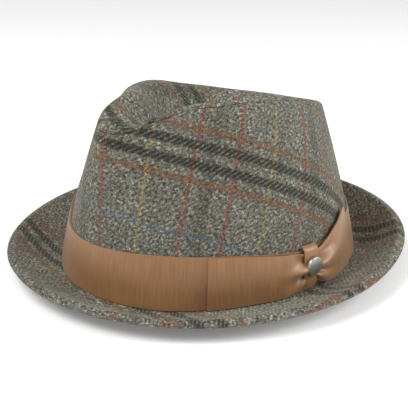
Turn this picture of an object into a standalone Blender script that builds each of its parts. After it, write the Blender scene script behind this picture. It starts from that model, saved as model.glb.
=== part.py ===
"""A wool trilby hat at its real size: teardrop crown, narrow turned-up brim, ribbon band, flat bow and metal stud.

The frame is in metres with +Z up. The front of the hat looks along -Y and the wearer's left is +X, which is the
side of the bow. The origin is on the surface that the hat rests on, below the middle of its outline.
A "turn" is the angle in degrees round the crown from the front, positive towards the wearer's left.
"""

import math
from collections import namedtuple

import bmesh
import bpy
from mathutils import Matrix, Vector

MM = 0.001

# Head opening, over the outside of the cloth
HEAD_LENGTH = 204 * MM
HEAD_WIDTH = 172 * MM

# Cloth, ribbon and the gap between pieces
CLOTH = 2.0 * MM
RIBBON = 1.0 * MM
GAP = 0.3 * MM

# Crown. Its height is to the start of the roll that leads over the crest.
CROWN_HEIGHT = 111 * MM
CROWN_LEAN = 5 * MM
BACK_LEAN = 0.6
ROLL_RADIUS = 5 * MM
SEAM_GAP = 0.9 * MM
DENT_DEPTH = 28 * MM
DENT_CLIMB = 13 * MM
DENT_WALL = 0.5
FOOT_STRAIGHT = 2 * MM

# Brim
BRIM_WIDTH = 36 * MM
BRIM_RISE = 16 * MM
BRIM_THICKNESS = 2.6 * MM
BRIM_FLAT = 5 * MM
BRIM_ROLL = 1.5 * MM
ROLL_WIDTH = 5 * MM
SIDE_LIFT = 3 * MM

# Ribbon band, and how far the knot gathers it
RIBBON_WIDTH = 32 * MM
GATHER = 0.19
GATHER_SPREAD = 26

# Bow, which lies on the band
WING_THICKNESS = 1.8 * MM
WING_PUFF = 2.0 * MM
FOLD_TURN = 45.5
KNOT_TURN = 88.5
WING_END_TURN = 120
KNOT_WIDTH = 11 * MM
KNOT_THICKNESS = 1.6 * MM
KNOT_HOLLOW = 2 * MM

# Stud on the knot
STUD_DIAMETER = 11.8 * MM
STUD_THICKNESS = 2.2 * MM
STUD_EDGE = 0.5 * MM
STUD_HEIGHT = 0.66

# Facets round the crown and brim
SECTORS = 72

# The crown, the same left and right. Its wall climbs to the start of a roll, which turns inwards over the crest to
# the dent. reach is a share of the head oval's reach at that turn, height and bulge are shares of CROWN_HEIGHT, roll
# is a share of ROLL_RADIUS, and seam is how far along the roll the tip is sewn to the side.
Crown = namedtuple("Crown", "turn reach height bulge roll seam")
CROWN = (
    Crown(turn=0, reach=0.872, height=0.893, bulge=0.030, roll=2.20, seam=0.05),
    Crown(turn=10, reach=0.822, height=0.898, bulge=0.035, roll=1.10, seam=0.10),
    Crown(turn=16, reach=0.762, height=0.940, bulge=0.038, roll=1.05, seam=0.10),
    Crown(turn=30, reach=0.625, height=0.990, bulge=0.050, roll=1.00, seam=0.10),
    Crown(turn=50, reach=0.613, height=1.003, bulge=0.078, roll=1.00, seam=0.10),
    Crown(turn=75, reach=0.624, height=0.997, bulge=0.085, roll=1.00, seam=0.40),
    Crown(turn=100, reach=0.637, height=0.957, bulge=0.080, roll=1.00, seam=0.55),
    Crown(turn=125, reach=0.670, height=0.905, bulge=0.042, roll=1.00, seam=0.55),
    Crown(turn=150, reach=0.726, height=0.842, bulge=0.010, roll=1.00, seam=0.55),
    Crown(turn=180, reach=0.740, height=0.812, bulge=0.010, roll=1.00, seam=0.55),
)

# The brim's outer edge, the same left and right, as shares of BRIM_WIDTH and BRIM_RISE.
Edge = namedtuple("Edge", "turn width rise")
EDGE = (
    Edge(turn=0, width=0.97, rise=0.80),
    Edge(turn=45, width=0.98, rise=0.77),
    Edge(turn=90, width=1.00, rise=0.92),
    Edge(turn=135, width=0.93, rise=1.14),
    Edge(turn=180, width=0.87, rise=1.20),
)

# The wings of the bow. along runs from the wing's first turn to its last, lower and upper are shares of the band's
# height there, and puff is how far the wing stands out, as a share of WING_PUFF.
Wing = namedtuple("Wing", "along lower upper puff")
FRONT_WING = (
    Wing(along=0.00, lower=0.01, upper=1.00, puff=0.00),
    Wing(along=0.40, lower=0.02, upper=1.00, puff=0.45),
    Wing(along=0.75, lower=0.03, upper=0.99, puff=1.00),
    Wing(along=0.91, lower=0.30, upper=0.91, puff=0.00),
    Wing(along=1.00, lower=0.31, upper=0.90, puff=0.00),
)
BACK_WING = (
    Wing(along=0.00, lower=0.31, upper=0.90, puff=0.00),
    Wing(along=0.12, lower=0.30, upper=0.91, puff=0.00),
    Wing(along=0.30, lower=0.05, upper=1.10, puff=1.00),
    Wing(along=0.55, lower=0.03, upper=1.19, puff=0.80),
    Wing(along=1.00, lower=0.04, upper=1.28, puff=0.20),
)

# The knot, from its lower end to its upper end. height is a share of the band's height, and stand says how much of
# the way out over the wings the wrap has come.
Wrap = namedtuple("Wrap", "height stand")
WRAP = (
    Wrap(height=0.14, stand=0.00),
    Wrap(height=0.19, stand=0.75),
    Wrap(height=0.26, stand=1.05),
    Wrap(height=0.60, stand=1.10),
    Wrap(height=0.95, stand=1.05),
    Wrap(height=1.02, stand=0.75),
    Wrap(height=1.07, stand=0.00),
)

COLLECTION = "wool_hat"


def smooth(share):
    """Runs from 0 to 1 with level ends."""
    share = min(max(share, 0.0), 1.0)
    return share * share * (3 - 2 * share)


def read(rows, column, at):
    """A table's column at a place in its first column, on a smooth curve through the rows with level ends."""
    places = [row[0] for row in rows]
    values = [getattr(row, column) for row in rows]
    at = min(max(at, places[0]), places[-1])
    last = max(i for i in range(len(rows) - 1) if places[i] <= at)
    slopes = [0.0]
    for i in range(1, len(rows) - 1):
        slopes.append((values[i + 1] - values[i - 1]) / (places[i + 1] - places[i - 1]))
    slopes.append(0.0)
    span = places[last + 1] - places[last]
    s = (at - places[last]) / span
    start = (1 + 2 * s) * (1 - s) ** 2 * values[last] + s * (1 - s) ** 2 * span * slopes[last]
    end = s * s * (3 - 2 * s) * values[last + 1] + s * s * (s - 1) * span * slopes[last + 1]
    return start + end


def round_the_hat(rows, column, turn):
    """A table's column at a turn, where left and right are alike."""
    return read(rows, column, abs((turn + 180) % 360 - 180))


def head_reach(turn):
    """From the crown's middle to the outside of the head oval."""
    angle = math.radians(turn)
    long, wide = HEAD_LENGTH / 2, HEAD_WIDTH / 2
    return long * wide / math.hypot(wide * math.cos(angle), long * math.sin(angle))


def edge_reach(turn):
    """From the crown's middle to the brim's edge."""
    return head_reach(turn) + BRIM_WIDTH * round_the_hat(EDGE, "width", turn)


# The crown's middle lies off the origin, so that the brim's outline is centred on it.
CROWN_MIDDLE = (edge_reach(0) - edge_reach(180)) / 2


def place(turn, reach, height):
    angle = math.radians(turn)
    return Vector((reach * math.sin(angle), CROWN_MIDDLE - reach * math.cos(angle), height))


def brim_top(turn):
    """Height of the brim's upper face where the crown stands on it: lowest at the front and back."""
    lift = smooth((abs(math.sin(math.radians(turn))) - 0.45) / 0.55)
    return BRIM_THICKNESS + SIDE_LIFT * lift


def crown_foot(turn):
    return brim_top(turn) + GAP


def roll_start(turn):
    """Reach and height where the crown's wall turns into the roll."""
    reach = head_reach(turn) * round_the_hat(CROWN, "reach", turn)
    height = CROWN_HEIGHT * round_the_hat(CROWN, "height", turn)
    angle = math.radians(turn)
    lean = CROWN_LEAN * math.sin(angle) * (1 + BACK_LEAN * max(-math.cos(angle), 0))
    return reach, height + lean


def wall_at(turn, height):
    """The outer face of the crown's side at a turn and a height."""
    foot = crown_foot(turn)
    reach, top = roll_start(turn)
    up = (max(height, foot + FOOT_STRAIGHT) - foot) / (top - foot)
    bulge = CROWN_HEIGHT * round_the_hat(CROWN, "bulge", turn)
    return place(turn, head_reach(turn) * (1 - up) + reach * up + 4 * bulge * up * (1 - up), height)


def wall_lean(turn):
    """The angle by which the crown's wall leans in where the roll starts."""
    foot = crown_foot(turn)
    reach, top = roll_start(turn)
    bulge = CROWN_HEIGHT * round_the_hat(CROWN, "bulge", turn)
    return math.atan((head_reach(turn) - reach + 4 * bulge) / (top - foot))


def roll_at(turn, along):
    """The outer face of the roll. along is 0 where the wall ends and 1 on the crest."""
    reach, height = roll_start(turn)
    lean = wall_lean(turn)
    radius = ROLL_RADIUS * round_the_hat(CROWN, "roll", turn)
    angle = lean + (math.pi / 2 - lean) * along
    inward = radius * (math.cos(lean) - math.cos(angle))
    return place(turn, reach - inward, height + radius * (math.sin(angle) - math.sin(lean)))


def past_the_seam(turn):
    """How far along the roll the tip starts, which is one gap past the seam."""
    arc = ROLL_RADIUS * round_the_hat(CROWN, "roll", turn) * (math.pi / 2 - wall_lean(turn))
    return round_the_hat(CROWN, "seam", turn) + SEAM_GAP / arc


def off_the_wall(turn, height, stand):
    """A point at the same height that stands off the outer face of the crown's side."""
    step = 0.5
    along = wall_at(turn + step, height) - wall_at(turn - step, height)
    return wall_at(turn, height) + stand * along.cross(Vector((0, 0, 1))).normalized()


def dent_floor(point):
    """Height of the dent's floor, which climbs towards the front."""
    forward = (CROWN_MIDDLE - point.y) / (HEAD_LENGTH / 2)
    return CROWN_HEIGHT - DENT_DEPTH + DENT_CLIMB * smooth(forward / 0.75)


def tip_at(turn, share):
    """The outer face of the crown's tip. share is 0 at the seam, 1 on the crest and 2 at the dent's foot."""
    start = past_the_seam(turn)
    if share <= 1:
        return roll_at(turn, start + (1 - start) * share)
    crest = roll_at(turn, 1)
    middle = Vector((0, CROWN_MIDDLE, 0))
    point = middle + (crest - middle) * (1 - DENT_WALL * (share - 1))
    sink = smooth(share - 1)
    point.z = crest.z * (1 - sink) + dent_floor(point) * sink
    return point


def brim_at(turn, share):
    """The brim's upper face. share is 0 at the crown's side and 1 at the edge."""
    width = edge_reach(turn) - head_reach(turn)
    out = width * share
    low = brim_top(turn)
    crest = BRIM_RISE * round_the_hat(EDGE, "rise", turn) + BRIM_ROLL
    crest_out = width - ROLL_WIDTH
    if out <= crest_out:
        climb = max(out - BRIM_FLAT, 0.0) / (crest_out - BRIM_FLAT)
        height = low + (crest - low) * climb ** 1.5
    else:
        height = crest - BRIM_ROLL * ((out - crest_out) / ROLL_WIDTH) ** 2
    return place(turn, head_reach(turn) + out, height)


def band_height(turn):
    """Height of the ribbon band, less where the knot gathers it."""
    away = (turn - KNOT_TURN) / GATHER_SPREAD
    return RIBBON_WIDTH * (1 - GATHER * math.exp(-away * away))


def on_the_band(turn, share, stand):
    """A point over the band. share is 0 at the band's lower edge and 1 at its upper edge."""
    return off_the_wall(turn, crown_foot(turn) + GAP + band_height(turn) * share, stand)


def cloth_material(name, colour, roughness):
    material = bpy.data.materials.new(name)
    material.use_nodes = True
    shader = material.node_tree.nodes["Principled BSDF"]
    shader.inputs["Base Color"].default_value = (*colour, 1.0)
    shader.inputs["Roughness"].default_value = roughness
    return material


def metal_material(name, colour, roughness):
    material = cloth_material(name, colour, roughness)
    material.node_tree.nodes["Principled BSDF"].inputs["Metallic"].default_value = 1.0
    return material


def tweed(name):
    return cloth_material(name + "_tweed", (0.22, 0.21, 0.17), 0.9)


def grosgrain(name):
    return cloth_material(name + "_grosgrain", (0.36, 0.20, 0.10), 0.55)


def loft(name, rings, closed, middle=None):
    """An open surface through rings of points, bridged in order. middle closes the last ring to one point."""
    mesh = bpy.data.meshes.new(name)
    bm = bmesh.new()
    grid = [[bm.verts.new(point) for point in ring] for ring in rings]
    count = len(grid[0])
    for lower, upper in zip(grid, grid[1:]):
        for i in range(count if closed else count - 1):
            j = (i + 1) % count
            bm.faces.new((lower[i], lower[j], upper[j], upper[i]))
    if middle is not None:
        centre = bm.verts.new(middle)
        for i in range(count):
            bm.faces.new((grid[-1][i], grid[-1][(i + 1) % count], centre))
    bm.to_mesh(mesh)
    bm.free()
    piece = bpy.data.objects.new(name, mesh)
    bpy.data.collections[COLLECTION].objects.link(piece)
    return piece


def give_wall(piece, thickness, outwards):
    """Solidify from the open surface, into or out of the hat."""
    wall = piece.modifiers.new("wall", "SOLIDIFY")
    wall.thickness = thickness
    wall.offset = 1.0 if outwards else -1.0
    wall.use_even_offset = True
    wall.use_quality_normals = True


def finish(piece, material):
    piece.data.materials.append(material)
    piece.data.shade_smooth()
    piece.data.set_sharp_from_angle(angle=math.radians(40))
    return piece


def all_turns():
    return [360 * i / SECTORS for i in range(SECTORS)]


def make_crown_side():
    turns = all_turns()
    rings = [[wall_at(turn, crown_foot(turn)) for turn in turns]]
    for up in (0.0, 0.14, 0.30, 0.46, 0.62, 0.78, 0.93, 1.0):
        ring = []
        for turn in turns:
            straight = crown_foot(turn) + FOOT_STRAIGHT
            ring.append(wall_at(turn, straight + (roll_start(turn)[1] - straight) * up))
        rings.append(ring)
    for share in (0.8, 1.0):
        rings.append([roll_at(turn, share * round_the_hat(CROWN, "seam", turn)) for turn in turns])
    piece = loft("crown_side", rings, closed=True)
    give_wall(piece, CLOTH, outwards=False)
    return finish(piece, tweed(piece.name))


def make_crown_tip():
    turns = all_turns()
    rings = []
    for share in (0.0, 0.12, 0.55, 1.0, 1.2, 1.4, 1.6, 1.8, 2.0):
        rings.append([tip_at(turn, share) for turn in turns])
    middle = Vector((0, CROWN_MIDDLE, 0))
    inner = []
    for point in rings[-1]:
        halfway = middle + (point - middle) / 2
        inner.append(Vector((halfway.x, halfway.y, dent_floor(halfway))))
    rings.append(inner)
    middle.z = dent_floor(middle)
    piece = loft("crown_tip", rings, closed=True, middle=middle)
    give_wall(piece, CLOTH, outwards=False)
    return finish(piece, tweed(piece.name))


def make_brim():
    turns = all_turns()
    rings = []
    for share in (1.0, 0.94, 0.86, 0.72, 0.56, 0.40, 0.26, 0.13, 0.04):
        rings.append([brim_at(turn, share) for turn in turns])
    rings.append([place(turn, head_reach(turn) - CLOTH, brim_top(turn)) for turn in turns])
    piece = loft("brim", rings, closed=True)
    give_wall(piece, BRIM_THICKNESS, outwards=False)
    return finish(piece, tweed(piece.name))


def make_ribbon_band():
    rings = [[on_the_band(turn, share, GAP) for turn in all_turns()] for share in (0.0, 0.06, 0.35, 0.67, 1.0)]
    piece = loft("ribbon_band", rings, closed=True)
    give_wall(piece, RIBBON, outwards=True)
    return finish(piece, grosgrain(piece.name))


def turn_width(width):
    """The turn that a width takes up along the band at the knot."""
    reach = (off_the_wall(KNOT_TURN, crown_foot(KNOT_TURN), GAP + RIBBON) - place(0, 0, crown_foot(KNOT_TURN))).length
    return math.degrees(width / reach)


def make_wing(name, rows, first_turn, last_turn):
    steps, levels = 14, 5
    stand = 2 * GAP + RIBBON
    rings = []
    for level in range(levels + 1):
        ring = []
        for step in range(steps + 1):
            along = step / steps
            turn = first_turn + (last_turn - first_turn) * along
            lower = read(rows, "lower", along)
            upper = read(rows, "upper", along)
            share = lower + (upper - lower) * level / levels
            ring.append(on_the_band(turn, share, stand + WING_PUFF * max(read(rows, "puff", along), 0.0)))
        rings.append(ring)
    piece = loft(name, rings, closed=False)
    give_wall(piece, WING_THICKNESS, outwards=True)
    return finish(piece, grosgrain(piece.name))


def knot_stand(share):
    """How far the inside of the wrap stands off the wall."""
    return 2 * GAP + RIBBON + (WING_THICKNESS + GAP) * share


def make_bow_knot():
    half = turn_width(KNOT_WIDTH) / 2
    rings = []
    for row in WRAP:
        ring = []
        for across in (-1.0, -0.5, 0.0, 0.5, 1.0):
            ring.append(on_the_band(KNOT_TURN + half * across, row.height, knot_stand(row.stand)))
        rings.append(ring)
    piece = loft("bow_knot", rings, closed=False)
    give_wall(piece, KNOT_THICKNESS, outwards=True)
    return finish(piece, grosgrain(piece.name))


def make_stud():
    bpy.ops.mesh.primitive_cylinder_add(vertices=32, radius=STUD_DIAMETER / 2, depth=STUD_THICKNESS)
    piece = bpy.context.object
    piece.name = piece.data.name = "stud"
    for holder in list(piece.users_collection):
        holder.objects.unlink(piece)
    bpy.data.collections[COLLECTION].objects.link(piece)
    middle = on_the_band(KNOT_TURN, STUD_HEIGHT, 0)
    face = on_the_band(KNOT_TURN, STUD_HEIGHT, knot_stand(1.10) + KNOT_THICKNESS)
    out = (face - middle).normalized()
    turned = out.to_track_quat("Z", "Y").to_matrix().to_4x4()
    piece.matrix_world = Matrix.Translation(face + out * (2 * GAP + STUD_THICKNESS / 2)) @ turned
    edge = piece.modifiers.new("edge", "BEVEL")
    edge.width = STUD_EDGE
    edge.segments = 2
    edge.limit_method = "ANGLE"
    return finish(piece, metal_material("stud_steel", (0.42, 0.42, 0.43), 0.35))


def make_hat():
    for old in list(bpy.data.objects):
        bpy.data.objects.remove(old, do_unlink=True)
    bpy.context.scene.collection.children.link(bpy.data.collections.new(COLLECTION))
    wing_shift = turn_width(KNOT_HOLLOW) / 2
    make_crown_side()
    make_crown_tip()
    make_brim()
    make_ribbon_band()
    make_wing("bow_front_wing", FRONT_WING, FOLD_TURN, KNOT_TURN - wing_shift)
    make_wing("bow_back_wing", BACK_WING, KNOT_TURN + wing_shift, WING_END_TURN)
    make_bow_knot()
    make_stud()


make_hat()
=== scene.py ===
"""A plaid wool trilby with a ribbed ribbon, a flat bow and a metal stud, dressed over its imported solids."""

import math
from collections import namedtuple

import bpy
from mathutils import Matrix, Vector


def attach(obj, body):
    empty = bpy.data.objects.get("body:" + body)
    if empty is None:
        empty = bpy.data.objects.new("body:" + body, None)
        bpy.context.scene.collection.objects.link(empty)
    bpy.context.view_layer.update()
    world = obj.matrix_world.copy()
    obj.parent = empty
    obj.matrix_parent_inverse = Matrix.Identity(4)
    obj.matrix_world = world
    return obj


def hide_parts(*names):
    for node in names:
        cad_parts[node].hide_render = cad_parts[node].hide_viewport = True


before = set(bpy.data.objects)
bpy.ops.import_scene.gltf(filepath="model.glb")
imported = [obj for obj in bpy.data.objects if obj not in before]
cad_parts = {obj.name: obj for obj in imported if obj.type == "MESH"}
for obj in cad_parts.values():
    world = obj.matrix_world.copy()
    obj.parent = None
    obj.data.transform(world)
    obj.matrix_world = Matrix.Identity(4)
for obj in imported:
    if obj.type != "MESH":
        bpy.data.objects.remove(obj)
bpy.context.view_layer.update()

MM = 0.001

# The hat's own sizes, as its solids have them
HEAD_LENGTH = 204 * MM
HEAD_WIDTH = 172 * MM
CLOTH = 2.0 * MM
RIBBON = 1.0 * MM
GAP = 0.3 * MM
CROWN_HEIGHT = 111 * MM
CROWN_LEAN = 5 * MM
BACK_LEAN = 0.6
ROLL_RADIUS = 5 * MM
DENT_DEPTH = 28 * MM
DENT_CLIMB = 13 * MM
DENT_WALL = 0.5
FOOT_STRAIGHT = 2 * MM
BRIM_WIDTH = 36 * MM
BRIM_RISE = 16 * MM
BRIM_THICKNESS = 2.6 * MM
BRIM_FLAT = 5 * MM
BRIM_ROLL = 1.5 * MM
ROLL_WIDTH = 5 * MM
SIDE_LIFT = 3 * MM
RIBBON_WIDTH = 32 * MM
GATHER = 0.19
GATHER_SPREAD = 26
WING_PUFF = 2.0 * MM
FOLD_TURN = 45.5
KNOT_TURN = 88.5
WING_END_TURN = 120
KNOT_WIDTH = 11 * MM
KNOT_HOLLOW = 2 * MM
STUD_DIAMETER = 11.8 * MM
STUD_THICKNESS = 2.2 * MM
STUD_HEIGHT = 0.66

# Sizes that only the dressed hat has. The seam's gap is narrower here than between the solids.
SEAM_GAP = 0.35 * MM
WING_CLOTH = 0.9 * MM
KNOT_CLOTH = 1.0 * MM
CONE_REACH = 0.2986
CONE_TURN = 0.062
CONE_SKEW = 0.1817

Crown = namedtuple("Crown", "turn reach height bulge roll seam")
CROWN = (
    Crown(turn=0, reach=0.872, height=0.893, bulge=0.030, roll=2.20, seam=0.05),
    Crown(turn=10, reach=0.822, height=0.898, bulge=0.035, roll=1.10, seam=0.10),
    Crown(turn=16, reach=0.762, height=0.940, bulge=0.038, roll=1.05, seam=0.10),
    Crown(turn=30, reach=0.625, height=0.990, bulge=0.050, roll=1.00, seam=0.10),
    Crown(turn=50, reach=0.613, height=1.003, bulge=0.078, roll=1.00, seam=0.10),
    Crown(turn=75, reach=0.624, height=0.997, bulge=0.085, roll=1.00, seam=0.40),
    Crown(turn=100, reach=0.637, height=0.957, bulge=0.080, roll=1.00, seam=0.55),
    Crown(turn=125, reach=0.670, height=0.905, bulge=0.042, roll=1.00, seam=0.55),
    Crown(turn=150, reach=0.726, height=0.842, bulge=0.010, roll=1.00, seam=0.55),
    Crown(turn=180, reach=0.740, height=0.812, bulge=0.010, roll=1.00, seam=0.55),
)

Edge = namedtuple("Edge", "turn width rise")
EDGE = (
    Edge(turn=0, width=0.97, rise=0.80),
    Edge(turn=45, width=0.98, rise=0.77),
    Edge(turn=90, width=1.00, rise=0.92),
    Edge(turn=135, width=0.93, rise=1.14),
    Edge(turn=180, width=0.87, rise=1.20),
)

# The bow's wings as they lie in cloth. along and across are shares of a wing's length and of its height there.
Wing = namedtuple("Wing", "along lower upper puff")
FRONT_WING = (
    Wing(along=0.00, lower=0.00, upper=1.00, puff=0.40),
    Wing(along=0.03, lower=0.00, upper=1.00, puff=0.32),
    Wing(along=0.40, lower=0.01, upper=1.00, puff=0.70),
    Wing(along=0.75, lower=0.03, upper=0.99, puff=1.50),
    Wing(along=0.90, lower=0.15, upper=0.97, puff=1.80),
    Wing(along=1.00, lower=0.31, upper=0.90, puff=0.00),
)
BACK_WING = (
    Wing(along=0.00, lower=0.31, upper=0.90, puff=0.00),
    Wing(along=0.12, lower=0.20, upper=0.98, puff=1.50),
    Wing(along=0.30, lower=0.07, upper=1.10, puff=1.80),
    Wing(along=0.55, lower=0.03, upper=1.19, puff=1.20),
    Wing(along=1.00, lower=0.04, upper=1.28, puff=0.30),
)

# Folds that run out of the knot. A fold is a ridge where depth is positive and a valley where it is negative, and
# start and end say where along the wing, lean how far it climbs across the wing on its way.
Fold = namedtuple("Fold", "across lean start end width depth")
FRONT_FOLDS = (
    Fold(across=0.55, lean=0.00, start=1.00, end=0.60, width=0.060, depth=1.6),
    Fold(across=0.76, lean=0.12, start=1.00, end=0.72, width=0.090, depth=-3.2),
    Fold(across=0.34, lean=-0.12, start=1.00, end=0.70, width=0.090, depth=-3.2),
    Fold(across=0.18, lean=-0.10, start=1.00, end=0.66, width=0.060, depth=0.8),
)
BACK_FOLDS = (
    Fold(across=0.55, lean=0.10, start=0.00, end=0.80, width=0.055, depth=1.6),
    Fold(across=0.74, lean=0.14, start=0.00, end=0.65, width=0.060, depth=-2.0),
    Fold(across=0.34, lean=-0.08, start=0.00, end=0.60, width=0.070, depth=-2.0),
    Fold(across=0.18, lean=-0.10, start=0.00, end=0.80, width=0.060, depth=0.9),
)

Wrap = namedtuple("Wrap", "height stand")
WRAP = (
    Wrap(height=0.12, stand=-0.30),
    Wrap(height=0.15, stand=0.55),
    Wrap(height=0.22, stand=1.05),
    Wrap(height=0.60, stand=1.12),
    Wrap(height=0.97, stand=1.05),
    Wrap(height=1.05, stand=0.60),
    Wrap(height=1.08, stand=-0.30),
)

# The plaid's stripes, in millimetres across one repeat of the cloth. soft is the width of a stripe's edge.
WARP_REPEAT = 67
WEFT_REPEAT = 89.7
Stripe = namedtuple("Stripe", "place width soft colour strength")
WARP = (
    Stripe(place=13.0, width=2.2, soft=0.8, colour="#80382f", strength=0.72),
    Stripe(place=34.0, width=1.2, soft=0.6, colour="#a89440", strength=0.66),
    Stripe(place=56.5, width=2.2, soft=0.8, colour="#80382f", strength=0.72),
    Stripe(place=66.0, width=7.0, soft=4.0, colour="#262a24", strength=0.50),
)
WEFT = (
    Stripe(place=54.1, width=1.5, soft=0.8, colour="#436c84", strength=0.64),
    Stripe(place=84.4, width=3.6, soft=1.0, colour="#744b29", strength=0.80),
    Stripe(place=93.6, width=5.4, soft=1.4, colour="#171712", strength=0.98),
    Stripe(place=104.4, width=5.4, soft=1.4, colour="#171712", strength=0.98),
    Stripe(place=113.4, width=3.6, soft=1.0, colour="#744b29", strength=0.80),
)
TWILL_SPACING = 3.1


def smooth(share):
    """Runs from 0 to 1 with level ends."""
    share = min(max(share, 0.0), 1.0)
    return share * share * (3 - 2 * share)


def read(rows, column, at):
    """A table's column at a place in its first column, on a smooth curve through the rows with level ends."""
    places = [row[0] for row in rows]
    values = [getattr(row, column) for row in rows]
    at = min(max(at, places[0]), places[-1])
    last = max(i for i in range(len(rows) - 1) if places[i] <= at)
    slopes = [0.0]
    for i in range(1, len(rows) - 1):
        slopes.append((values[i + 1] - values[i - 1]) / (places[i + 1] - places[i - 1]))
    slopes.append(0.0)
    span = places[last + 1] - places[last]
    s = (at - places[last]) / span
    start = (1 + 2 * s) * (1 - s) ** 2 * values[last] + s * (1 - s) ** 2 * span * slopes[last]
    end = s * s * (3 - 2 * s) * values[last + 1] + s * s * (s - 1) * span * slopes[last + 1]
    return start + end


def round_the_hat(rows, column, turn):
    """A table's column at a turn, where left and right are alike."""
    return read(rows, column, abs((turn + 180) % 360 - 180))


def head_reach(turn):
    angle = math.radians(turn)
    long, wide = HEAD_LENGTH / 2, HEAD_WIDTH / 2
    return long * wide / math.hypot(wide * math.cos(angle), long * math.sin(angle))


def edge_reach(turn):
    return head_reach(turn) + BRIM_WIDTH * round_the_hat(EDGE, "width", turn)


CROWN_MIDDLE = (edge_reach(0) - edge_reach(180)) / 2


def place(turn, reach, height):
    angle = math.radians(turn)
    return Vector((reach * math.sin(angle), CROWN_MIDDLE - reach * math.cos(angle), height))


def brim_top(turn):
    lift = smooth((abs(math.sin(math.radians(turn))) - 0.45) / 0.55)
    return BRIM_THICKNESS + SIDE_LIFT * lift


def crown_foot(turn):
    return brim_top(turn) + GAP


def roll_start(turn):
    """Reach and height where the crown's wall turns into the roll."""
    reach = head_reach(turn) * round_the_hat(CROWN, "reach", turn)
    height = CROWN_HEIGHT * round_the_hat(CROWN, "height", turn)
    angle = math.radians(turn)
    lean = CROWN_LEAN * math.sin(angle) * (1 + BACK_LEAN * max(-math.cos(angle), 0))
    return reach, height + lean


def wall_at(turn, height):
    """The outer face of the crown's side at a turn and a height."""
    foot = crown_foot(turn)
    reach, top = roll_start(turn)
    up = (max(height, foot + FOOT_STRAIGHT) - foot) / (top - foot)
    bulge = CROWN_HEIGHT * round_the_hat(CROWN, "bulge", turn)
    return place(turn, head_reach(turn) * (1 - up) + reach * up + 4 * bulge * up * (1 - up), height)


def wall_lean(turn):
    foot = crown_foot(turn)
    reach, top = roll_start(turn)
    bulge = CROWN_HEIGHT * round_the_hat(CROWN, "bulge", turn)
    return math.atan((head_reach(turn) - reach + 4 * bulge) / (top - foot))


def roll_at(turn, along):
    """The outer face of the roll over the crest. along is 0 where the wall ends and 1 on the crest."""
    reach, height = roll_start(turn)
    lean = wall_lean(turn)
    radius = ROLL_RADIUS * round_the_hat(CROWN, "roll", turn)
    angle = lean + (math.pi / 2 - lean) * along
    inward = radius * (math.cos(lean) - math.cos(angle))
    return place(turn, reach - inward, height + radius * (math.sin(angle) - math.sin(lean)))


def past_the_seam(turn):
    arc = ROLL_RADIUS * round_the_hat(CROWN, "roll", turn) * (math.pi / 2 - wall_lean(turn))
    return round_the_hat(CROWN, "seam", turn) + SEAM_GAP / arc


def off_the_wall(turn, height, stand):
    """A point at the same height that stands off the outer face of the crown's side."""
    step = 0.5
    along = wall_at(turn + step, height) - wall_at(turn - step, height)
    return wall_at(turn, height) + stand * along.cross(Vector((0, 0, 1))).normalized()


def dent_floor(point):
    forward = (CROWN_MIDDLE - point.y) / (HEAD_LENGTH / 2)
    return CROWN_HEIGHT - DENT_DEPTH + DENT_CLIMB * smooth(forward / 0.75)


def tip_at(turn, share):
    """The crown's tip. share is 0 at the seam, 1 on the crest, 2 at the dent's foot and 3 in the middle."""
    start = past_the_seam(turn)
    if share <= 1:
        return roll_at(turn, start + (1 - start) * share)
    crest = roll_at(turn, 1)
    middle = Vector((0, CROWN_MIDDLE, 0))
    if share <= 2:
        point = middle + (crest - middle) * (1 - DENT_WALL * (share - 1))
        sink = smooth(share - 1)
    else:
        point = middle + (crest - middle) * (1 - DENT_WALL) * (3 - share)
        sink = 1
    point.z = crest.z * (1 - sink) + dent_floor(point) * sink
    return point


def brim_at(turn, share):
    """The brim's upper face. share is 0 at the crown's side and 1 at the edge."""
    width = edge_reach(turn) - head_reach(turn)
    out = width * share
    low = brim_top(turn)
    crest = BRIM_RISE * round_the_hat(EDGE, "rise", turn) + BRIM_ROLL
    crest_out = width - ROLL_WIDTH
    if out <= crest_out:
        climb = max(out - BRIM_FLAT, 0.0) / (crest_out - BRIM_FLAT)
        height = low + (crest - low) * climb ** 1.5
    else:
        height = crest - BRIM_ROLL * ((out - crest_out) / ROLL_WIDTH) ** 2
    return place(turn, head_reach(turn) + out, height)


def band_height(turn):
    away = (turn - KNOT_TURN) / GATHER_SPREAD
    return RIBBON_WIDTH * (1 - GATHER * math.exp(-away * away))


def on_the_band(turn, share, stand):
    """A point over the band. share is 0 at the band's lower edge and 1 at its upper edge."""
    return off_the_wall(turn, crown_foot(turn) + GAP + band_height(turn) * share, stand)


def turn_width(width):
    """The turn that a width takes up along the band at the knot."""
    height = crown_foot(KNOT_TURN)
    reach = (off_the_wall(KNOT_TURN, height, GAP + RIBBON) - place(0, 0, height)).length
    return math.degrees(width / reach)


def deselect():
    bpy.ops.object.select_all(action="DESELECT")


def only(piece):
    deselect()
    piece.select_set(True)
    bpy.context.view_layer.objects.active = piece


def in_edit_mode(piece, operator, **settings):
    only(piece)
    bpy.ops.object.mode_set(mode="EDIT")
    bpy.ops.mesh.select_all(action="SELECT")
    operator(**settings)
    bpy.ops.object.mode_set(mode="OBJECT")


def apply_modifiers(piece):
    only(piece)
    for modifier in list(piece.modifiers):
        bpy.ops.object.modifier_apply(modifier=modifier.name)


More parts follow.
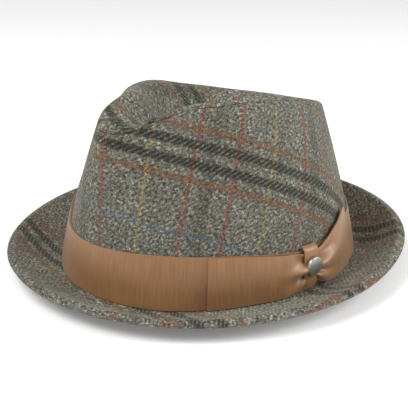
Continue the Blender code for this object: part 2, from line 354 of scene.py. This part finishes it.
def cloth(name, columns, rows, surface, chart, thickness, outwards=False, closed=False):
    """A piece of cloth: a grid laid over surface(across, up), with its weave from chart(across, up) in metres."""
    deselect()
    bpy.ops.mesh.primitive_grid_add(x_subdivisions=columns, y_subdivisions=rows, size=2)
    piece = bpy.context.object
    piece.name = piece.data.name = name
    mesh = piece.data
    where = [((v.co.x + 1) / 2, (v.co.y + 1) / 2) for v in mesh.vertices]
    weave = mesh.uv_layers.active.data
    for loop in mesh.loops:
        weave[loop.index].uv = chart(*where[loop.vertex_index])
    for vertex, (across, up) in zip(mesh.vertices, where):
        vertex.co = surface(across, up)
    if closed:
        in_edit_mode(piece, bpy.ops.mesh.remove_doubles, threshold=0.00001)
    wall = piece.modifiers.new("wall", "SOLIDIFY")
    wall.thickness = thickness
    wall.offset = 1.0 if outwards else -1.0
    wall.use_even_offset = True
    wall.use_quality_normals = True
    apply_modifiers(piece)
    bpy.ops.object.shade_smooth_by_angle(angle=math.radians(50))
    return piece


def srgb(text):
    """A hex colour as linear light."""
    channels = [int(text[i:i + 2], 16) / 255 for i in (1, 3, 5)]
    return tuple(c / 12.92 if c <= 0.04045 else ((c + 0.055) / 1.055) ** 2.4 for c in channels) + (1.0,)


def add(tree, kind, inputs=None, **settings):
    """Adds one node with its settings. An input is a value, or an output that it is linked to."""
    node = tree.nodes.new("ShaderNode" + kind)
    for key, value in settings.items():
        setattr(node, key, value)
    for key, value in (inputs or {}).items():
        if isinstance(value, bpy.types.NodeSocket):
            tree.links.new(value, node.inputs[key])
        else:
            node.inputs[key].default_value = value
    return node


def new_material(name):
    material = bpy.data.materials.new(name)
    material.use_nodes = True
    tree = material.node_tree
    return material, tree, tree.nodes["Principled BSDF"]


def sums(tree, operation, *values):
    """One Math node's output."""
    return add(tree, "Math", dict(enumerate(values)), operation=operation).outputs[0]


def stripes(tree, coordinate, rows, repeat):
    """One ramp over a repeat of the cloth, with each stripe's colour, and its strength as the ramp's alpha."""
    turns = sums(tree, "MULTIPLY", coordinate, 1000 / repeat)
    share = sums(tree, "FRACT", turns)
    ramp = add(tree, "ValToRGB", {0: share})
    band = ramp.color_ramp
    places = []
    for row in rows:
        middle = (row.place % repeat) / repeat
        inner = (row.width - row.soft) / 2 / repeat
        outer = (row.width + row.soft) / 2 / repeat
        for offset, strength in ((-outer, 0.0), (-inner, row.strength), (inner, row.strength), (outer, 0.0)):
            places.append(((middle + offset) % 1, row.colour, strength))
    places.sort()
    while len(band.elements) < len(places):
        band.elements.new(1.0)
    for stop, (at, colour, strength) in zip(band.elements, places):
        stop.position = at
        stop.color = srgb(colour)[:3] + (strength,)
    return ramp.outputs["Color"], ramp.outputs["Alpha"]


def mixed(tree, share, first, second, blend="MIX"):
    node = add(tree, "Mix", {0: share, 6: first, 7: second}, data_type="RGBA", blend_type=blend)
    return node.outputs[2]


def wool_tweed(name, warp_shift, weft_shift, twill, streaked):
    """Wool tweed, a brushed twill of mottled grey-green yarn: matt, with a soft bloom of fibre at grazing light."""
    material, tree, shader = new_material(name)
    uv = add(tree, "UVMap").outputs[0]
    where = add(tree, "TexCoord").outputs["Object"]
    # Fibre strays across a yarn, which frays every stripe's edge by about half a millimetre
    stray = add(tree, "TexNoise", {"Vector": uv, "Scale": 1100.0, "Detail": 2.0}).outputs["Color"]
    shift = add(tree, "VectorMath", {0: stray, 1: (0.5, 0.5, 0.5)}, operation="SUBTRACT").outputs[0]
    shift = add(tree, "VectorMath", {0: shift, "Scale": 0.0022}, operation="SCALE").outputs[0]
    frayed = add(tree, "VectorMath", {0: uv, 1: shift}, operation="ADD").outputs[0]
    split = add(tree, "SeparateXYZ", {0: frayed})
    across, along = split.outputs[0], split.outputs[1]
    # Twill lines, drawn coarser than the real ones so that they show
    leaning = sums(tree, "MULTIPLY", along, twill)
    diagonal = sums(tree, "ADD", across, leaning)
    phase = sums(tree, "FRACT", sums(tree, "MULTIPLY", diagonal, 1000 / TWILL_SPACING))
    ridge = sums(tree, "ABSOLUTE", sums(tree, "SUBTRACT", sums(tree, "MULTIPLY", phase, 2.0), 1.0))
    # Slubs: short lengths of lighter and darker yarn, which lie along the twill where the cloth is streaked
    if streaked:
        thin = sums(tree, "MULTIPLY", diagonal, 640.0)
        long = sums(tree, "MULTIPLY", sums(tree, "SUBTRACT", across, leaning), 330.0)
        lie = add(tree, "CombineXYZ", {0: thin, 1: long}).outputs[0]
    else:
        lie = add(tree, "VectorMath", {0: where, "Scale": 620.0}, operation="SCALE").outputs[0]
    slub = add(tree, "TexNoise", {"Vector": lie, "Scale": 1.0, "Detail": 2.0, "Roughness": 0.6}).outputs[0]
    fleck = add(tree, "TexNoise", {"Vector": where, "Scale": 1300.0, "Detail": 1.0}).outputs[0]
    cloudy = add(tree, "TexNoise", {"Vector": where, "Scale": 75.0, "Detail": 2.0}).outputs[0]
    tone = sums(tree, "ADD", sums(tree, "MULTIPLY", slub, 1.8), sums(tree, "MULTIPLY", fleck, 0.6))
    tone = sums(tree, "ADD", tone, sums(tree, "MULTIPLY", ridge, 0.12))
    tone = sums(tree, "ADD", tone, sums(tree, "MULTIPLY", cloudy, 0.25))
    tone = sums(tree, "SUBTRACT", tone, 0.88)
    ramp = add(tree, "ValToRGB", {0: tone})
    shades = ((0.12, "#201f1b"), (0.36, "#48463d"), (0.52, "#5d5c53"), (0.68, "#747266"), (0.9, "#a3a196"))
    while len(ramp.color_ramp.elements) < len(shades):
        ramp.color_ramp.elements.new(1.0)
    for stop, (at, colour) in zip(ramp.color_ramp.elements, shades):
        stop.position = at
        stop.color = srgb(colour)
    # Fibres of other dyes are spun in, a few to each yarn
    colour = mixed(tree, 0.4, ramp.outputs["Color"], stray, "OVERLAY")
    # A stripe's yarn shows on the twill's ridges and dives under between them
    ridged = add(tree, "MapRange", {0: ridge, 1: 0.15, 2: 0.6, 3: 0.22, 4: 1.0}).outputs[0]
    broken = add(tree, "MapRange", {0: slub, 1: 0.36, 2: 0.5, 3: 0.45, 4: 1.0}).outputs[0]
    shown = sums(tree, "MULTIPLY", ridged, broken)
    lit = add(tree, "MapRange", {0: fleck, 1: 0.3, 2: 0.7, 3: 0.45, 4: 1.2}).outputs[0]
    for coordinate, rows, repeat, start in (
        (across, WARP, WARP_REPEAT, warp_shift), (along, WEFT, WEFT_REPEAT, weft_shift)
    ):
        moved = sums(tree, "ADD", coordinate, start * MM)
        dye, strength = stripes(tree, moved, rows, repeat)
        dye = mixed(tree, 1.0, dye, lit, "MULTIPLY")
        colour = mixed(tree, sums(tree, "MULTIPLY", strength, shown), colour, dye)
    tree.links.new(colour, shader.inputs["Base Color"])
    shader.inputs["Roughness"].default_value = 0.95
    shader.inputs["Specular IOR Level"].default_value = 0.25
    shader.inputs["Sheen Weight"].default_value = 0.25
    shader.inputs["Sheen Roughness"].default_value = 0.6
    shader.inputs["Sheen Tint"].default_value = srgb("#b9b4a4")
    relief = sums(tree, "ADD", sums(tree, "MULTIPLY", ridge, 0.35), slub)
    bump = add(tree, "Bump", {"Height": relief, "Strength": 0.55, "Distance": 0.0008})
    tree.links.new(bump.outputs[0], shader.inputs["Normal"])
    return material


def ribbon_grosgrain(name):
    """Rayon grosgrain ribbon: fine upright ribs that give a soft satin glow."""
    material, tree, shader = new_material(name)
    uv = add(tree, "UVMap").outputs[0]
    ribs = add(tree, "Mapping", {"Vector": uv, "Scale": (1500, 60, 1)}).outputs[0]
    rib = add(tree, "TexNoise", {"Vector": ribs, "Scale": 1.0, "Detail": 1.0}).outputs[0]
    cloudy = add(tree, "TexNoise", {"Vector": uv, "Scale": 30.0, "Detail": 1.0}).outputs[0]
    tone = sums(tree, "ADD", sums(tree, "MULTIPLY", rib, 0.6), sums(tree, "MULTIPLY", cloudy, 0.3))
    ramp = add(tree, "ValToRGB", {0: tone})
    ramp.color_ramp.elements[0].position = 0.2
    ramp.color_ramp.elements[0].color = srgb("#7b5639")
    ramp.color_ramp.elements[1].position = 0.7
    ramp.color_ramp.elements[1].color = srgb("#9d734a")
    tree.links.new(ramp.outputs["Color"], shader.inputs["Base Color"])
    shader.inputs["Roughness"].default_value = 0.42
    shader.inputs["Specular IOR Level"].default_value = 0.55
    shader.inputs["Sheen Weight"].default_value = 0.2
    shader.inputs["Sheen Roughness"].default_value = 0.4
    bump = add(tree, "Bump", {"Height": rib, "Strength": 0.2, "Distance": 0.0002})
    tree.links.new(bump.outputs[0], shader.inputs["Normal"])
    return material


def brushed_steel(name):
    """Dark nickel-plated steel, brushed: fine straight scratches that spread its highlight."""
    material, tree, shader = new_material(name)
    where = add(tree, "TexCoord").outputs["Object"]
    drawn = add(tree, "Mapping", {"Vector": where, "Scale": (400, 400, 4000)}).outputs[0]
    scratch = add(tree, "TexNoise", {"Vector": drawn, "Scale": 1.0, "Detail": 4.0}).outputs[0]
    rough = add(tree, "MapRange", {0: scratch, 1: 0.3, 2: 0.7, 3: 0.28, 4: 0.48}).outputs[0]
    shader.inputs["Base Color"].default_value = srgb("#b8b5b0")
    shader.inputs["Metallic"].default_value = 1.0
    tree.links.new(rough, shader.inputs["Roughness"])
    bump = add(tree, "Bump", {"Height": scratch, "Strength": 0.2, "Distance": 0.0001})
    tree.links.new(bump.outputs[0], shader.inputs["Normal"])
    return material


def head_arc():
    """Arc length round the foot of the crown, from the front, for each whole degree up to the back."""
    lengths = [0.0]
    for turn in range(180):
        step = place(turn + 1, head_reach(turn + 1), 0) - place(turn, head_reach(turn), 0)
        lengths.append(lengths[-1] + step.length)
    return lengths


ARC = head_arc()


def arc_at(turn):
    """Signed arc length round the foot of the crown from the front."""
    size = min(abs(turn), 179.999)
    low = int(size)
    length = ARC[low] + (ARC[low + 1] - ARC[low]) * (size - low)
    return math.copysign(length, turn)


def side_at(across, up):
    """The crown's side. across runs from the back, round by the wearer's right and the front, to the back."""
    turn = -180 + 360 * across
    wall_share = 0.9
    if up <= wall_share:
        foot = crown_foot(turn)
        return wall_at(turn, foot + (roll_start(turn)[1] - foot) * up / wall_share)
    return roll_at(turn, (up - wall_share) / (1 - wall_share) * round_the_hat(CROWN, "seam", turn))


def slant_at(across, up):
    """How far up the cloth a point of the crown's side is."""
    steps = 6
    points = [side_at(across, up * i / steps) for i in range(steps + 1)]
    return sum((b - a).length for a, b in zip(points, points[1:]))


def side_chart(across, up):
    """The side is cut as part of a flat ring, so the plaid turns as the cloth goes round the head."""
    slant = slant_at(across, up)
    angle = arc_at(-180 + 360 * across) / CONE_REACH
    u = (CONE_REACH - slant) * math.sin(angle)
    w = CONE_REACH - (CONE_REACH - slant) * math.cos(angle)
    return (
        u * math.cos(CONE_TURN) - w * math.sin(CONE_TURN) + CONE_SKEW * w,
        u * math.sin(CONE_TURN) + w * math.cos(CONE_TURN),
    )


def flat_chart(point):
    """A piece that is cut flat and pressed: its plaid lies square to the hat."""
    return (point.x, CROWN_MIDDLE - point.y)


def make_crown_side():
    piece = cloth("crown_side_cloth", 240, 60, side_at, side_chart, CLOTH, closed=True)
    piece.data.materials.append(wool_tweed("wool_tweed_side", 0, 0, -1, True))
    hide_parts("crown_side")
    return piece


def make_crown_tip():
    def surface(across, up):
        share = 3 * up
        return tip_at(-180 + 360 * across, share)

    def chart(across, up):
        return flat_chart(surface(across, up))

    piece = cloth("crown_tip_cloth", 200, 72, surface, chart, CLOTH, closed=True)
    piece.data.materials.append(wool_tweed("wool_tweed_tip", 41, 23.6, 1, False))
    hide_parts("crown_tip")
    return piece


def make_brim():
    def surface(across, up):
        turn = -180 + 360 * across
        out = 1 - up
        if out < 0.04:
            return place(turn, head_reach(turn) - CLOTH * (1 - out / 0.04), brim_top(turn))
        return brim_at(turn, (out - 0.04) / 0.96)

    def chart(across, up):
        return flat_chart(surface(across, up))

    piece = cloth("brim_cloth", 240, 50, surface, chart, BRIM_THICKNESS, closed=True)
    piece.data.materials.append(wool_tweed("wool_tweed_brim", 5, 12.4, -1, False))
    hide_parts("brim")
    return piece


def make_ribbon(grosgrain):
    def surface(across, up):
        return on_the_band(-180 + 360 * across, up, GAP)

    def chart(across, up):
        return (arc_at(-180 + 360 * across), up * RIBBON_WIDTH)

    piece = cloth("ribbon_band_cloth", 240, 16, surface, chart, RIBBON, outwards=True, closed=True)
    piece.data.materials.append(grosgrain)
    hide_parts("ribbon_band")
    return piece


def fold_lift(folds, along, across):
    """How far the folds lift or sink the cloth, in wing puffs."""
    lift = 0.0
    for fold in folds:
        share = (along - fold.start) / (fold.end - fold.start)
        if not 0 <= share <= 1:
            continue
        middle = fold.across + fold.lean * share
        width = fold.width * (1 + 2.0 * share)
        lift += fold.depth * math.exp(-(((across - middle) / width) ** 2)) * (1 - share) ** 1.2
    return lift


def make_wing(name, rows, folds, first_turn, last_turn, node, grosgrain):
    stand = 2 * GAP + RIBBON

    def surface(across, up):
        turn = first_turn + (last_turn - first_turn) * across
        lower = read(rows, "lower", across)
        upper = read(rows, "upper", across)
        puff = max(read(rows, "puff", across), 0.0)
        edge = 1 - abs(2 * up - 1) ** 3
        lift = puff * (0.55 + 0.45 * edge) + fold_lift(folds, across, up) * min(1.0, puff * 2)
        return on_the_band(turn, lower + (upper - lower) * up, stand + WING_PUFF * max(lift, 0.0))

    length = (surface(1, 0.5) - surface(0, 0.5)).length * 1.03
    height = (surface(0.5, 1) - surface(0.5, 0)).length

    def chart(across, up):
        return (across * length, up * height)

    piece = cloth(name, 96, 40, surface, chart, WING_CLOTH, outwards=True)
    piece.data.materials.append(grosgrain)
    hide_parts(node)
    return piece


def knot_stand(share):
    return 2 * GAP + RIBBON + (1.8 * MM + GAP) * share


def make_knot(grosgrain):
    half = turn_width(KNOT_WIDTH) / 2

    def surface(across, up):
        height = WRAP[0].height + (WRAP[-1].height - WRAP[0].height) * up
        side = 2 * across - 1
        stand = knot_stand(read(WRAP, "stand", height)) - 0.6 * MM * side ** 4
        return on_the_band(KNOT_TURN + half * side, height, max(stand, GAP))

    def chart(across, up):
        return (up * 30 * MM, across * KNOT_WIDTH)

    piece = cloth("bow_wrap", 24, 48, surface, chart, KNOT_CLOTH, outwards=True)
    piece.data.materials.append(grosgrain)
    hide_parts("bow_knot")
    return piece


def make_stud():
    middle = on_the_band(KNOT_TURN, STUD_HEIGHT, 0)
    face = on_the_band(KNOT_TURN, STUD_HEIGHT, knot_stand(1.12) + KNOT_CLOTH)
    out = (face - middle).normalized()
    deselect()
    bpy.ops.mesh.primitive_cylinder_add(vertices=64, radius=STUD_DIAMETER / 2, depth=STUD_THICKNESS)
    piece = bpy.context.object
    piece.name = piece.data.name = "stud_cap"
    turned = out.to_track_quat("Z", "Y").to_matrix().to_4x4()
    piece.matrix_world = Matrix.Translation(face + out * (GAP + STUD_THICKNESS / 2)) @ turned
    only(piece)
    bpy.ops.object.transform_apply(location=True, rotation=True, scale=True)
    edge = piece.modifiers.new("edge", "BEVEL")
    edge.width = 0.45 * MM
    edge.segments = 3
    edge.limit_method = "ANGLE"
    apply_modifiers(piece)
    bpy.ops.object.shade_smooth_by_angle(angle=math.radians(35))
    piece.data.materials.append(brushed_steel("nickelled_steel_brushed"))
    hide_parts("stud")
    return piece


def direction(azimuth, elevation):
    """From the hat towards an azimuth, which runs from the front to the wearer's left, and an elevation."""
    level = math.cos(elevation)
    return Vector((math.sin(azimuth) * level, -math.cos(azimuth) * level, math.sin(elevation)))


def make_studio():
    """A white sweep, a broad soft key from above the front, a lamp on the right for the bow and a weak fill."""
    deselect()
    bpy.ops.mesh.primitive_plane_add(size=8)
    floor = bpy.context.object
    floor.name = "floor"
    material, tree, shader = new_material("white_paper")
    shader.inputs["Base Color"].default_value = (0.9, 0.9, 0.9, 1)
    shader.inputs["Roughness"].default_value = 0.9
    shader.inputs["Specular IOR Level"].default_value = 0.1
    shader.inputs["Emission Color"].default_value = (1, 1, 1, 1)
    shader.inputs["Emission Strength"].default_value = 0.12
    floor.data.materials.append(material)
    world = bpy.data.worlds.new("studio")
    bpy.context.scene.world = world
    world.use_nodes = True
    world.node_tree.nodes["Background"].inputs["Color"].default_value = (1, 1, 1, 1)
    world.node_tree.nodes["Background"].inputs["Strength"].default_value = 0.45
    Lamp = namedtuple("Lamp", "name azimuth elevation distance size watts")
    for lamp in (
        Lamp("key", -10, 52, 1.3, 0.8, 14),
        Lamp("right", 130, 30, 1.2, 0.6, 10),
        Lamp("fill", 55, 35, 1.6, 1.0, 2),
    ):
        light = bpy.data.lights.new(lamp.name, "AREA")
        light.size = lamp.size
        light.energy = lamp.watts
        holder = bpy.data.objects.new(lamp.name, light)
        bpy.context.scene.collection.objects.link(holder)
        towards = direction(math.radians(lamp.azimuth), math.radians(lamp.elevation))
        holder.location = towards * lamp.distance + Vector((0, 0, 0.05))
        holder.rotation_euler = towards.to_track_quat("Z", "Y").to_euler()


def make_camera():
    """The photograph's view: from the front left of the wearer, a little above, with a short distance."""
    azimuth, elevation, roll = math.radians(46.4), math.radians(23.79), math.radians(-1.84)
    focal_px, frame_px = 1057.0, 408
    middle_px = (211.08, 245.41)
    towards = direction(azimuth, elevation)
    level = Vector((math.cos(azimuth), math.sin(azimuth), 0))
    upright = towards.cross(level)
    right = level * math.cos(roll) - upright * math.sin(roll)
    up = level * math.sin(roll) + upright * math.cos(roll)
    data = bpy.data.cameras.new("camera")
    data.sensor_width = 36
    data.lens = 36 * focal_px / frame_px
    data.shift_x = (frame_px / 2 - middle_px[0]) / frame_px
    data.shift_y = (middle_px[1] - frame_px / 2) / frame_px
    camera = bpy.data.objects.new("camera", data)
    turned = Matrix((right, up, towards)).transposed().to_4x4()
    aim = Vector((0, CROWN_MIDDLE, 4.3 * MM))
    camera.matrix_world = Matrix.Translation(aim + towards * 0.7) @ turned
    bpy.context.scene.collection.objects.link(camera)
    bpy.context.scene.camera = camera


make_camera()
make_studio()
grosgrain = ribbon_grosgrain("rayon_grosgrain")
shift = turn_width(KNOT_HOLLOW) / 2
pieces = {
    "wool_tweed": [make_crown_side(), make_crown_tip(), make_brim()],
    "ribbon_grosgrain": [
        make_ribbon(grosgrain),
        make_wing(
            "bow_front_cloth", FRONT_WING, FRONT_FOLDS, FOLD_TURN, KNOT_TURN - shift, "bow_front_wing", grosgrain
        ),
        make_wing(
            "bow_back_cloth", BACK_WING, BACK_FOLDS, KNOT_TURN + shift, WING_END_TURN, "bow_back_wing", grosgrain
        ),
        make_knot(grosgrain),
    ],
    "stud_metal": [make_stud()],
}
for slot, members in pieces.items():
    for member in members:
        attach(member, "root")

bpy.context.scene.view_settings.view_transform = "Standard"
